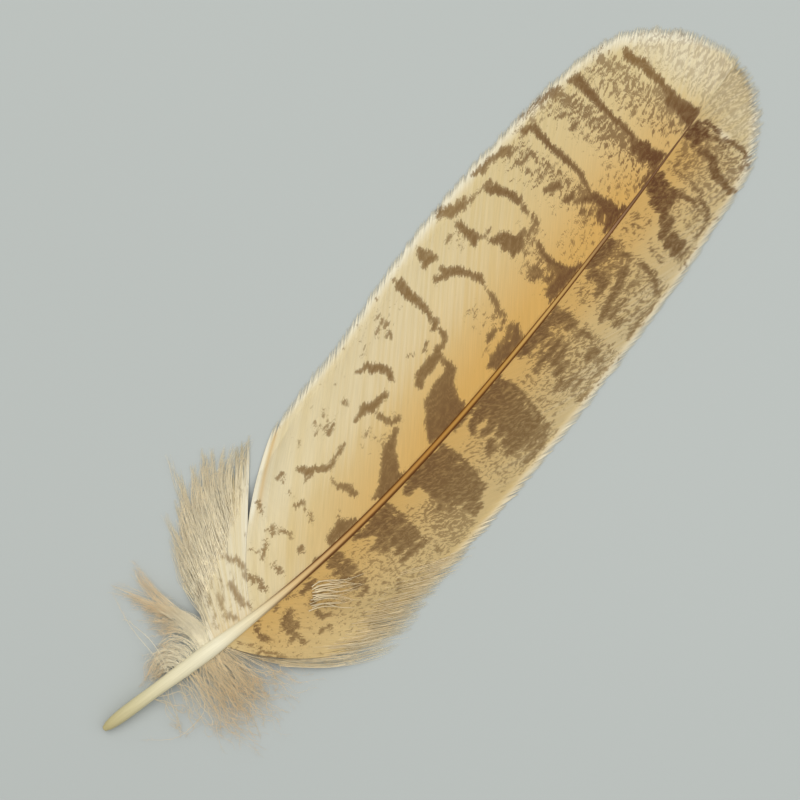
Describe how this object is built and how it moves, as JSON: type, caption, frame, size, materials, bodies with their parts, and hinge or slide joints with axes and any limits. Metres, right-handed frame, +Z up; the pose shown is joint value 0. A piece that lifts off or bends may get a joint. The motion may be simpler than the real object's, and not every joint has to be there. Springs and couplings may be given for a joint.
{
  "type": "wing feather",
  "caption": "Large buff wing feather with brown bars, a pale hollow quill, a wide and a narrow vane and a tuft of down, lying on its underside.",
  "frame": {"origin": "on the surface that the feather lies on, under the centre of its bounding box", "axes": "+X from the quill to the tip, +Y towards the wide vane, +Z up through the patterned side"},
  "size_m": [0.2776, 0.0894, 0.0115],
  "materials": {
    "vane": "matte barbs with a soft sheen, buff with brown bars and flecks",
    "quill": "satin horn, ivory at the quill and amber brown along the shaft",
    "down": "matte, fine pale tan down"
  },
  "bodies": {
    "root": {"feather": "vane"}
  },
  "joints": []
}
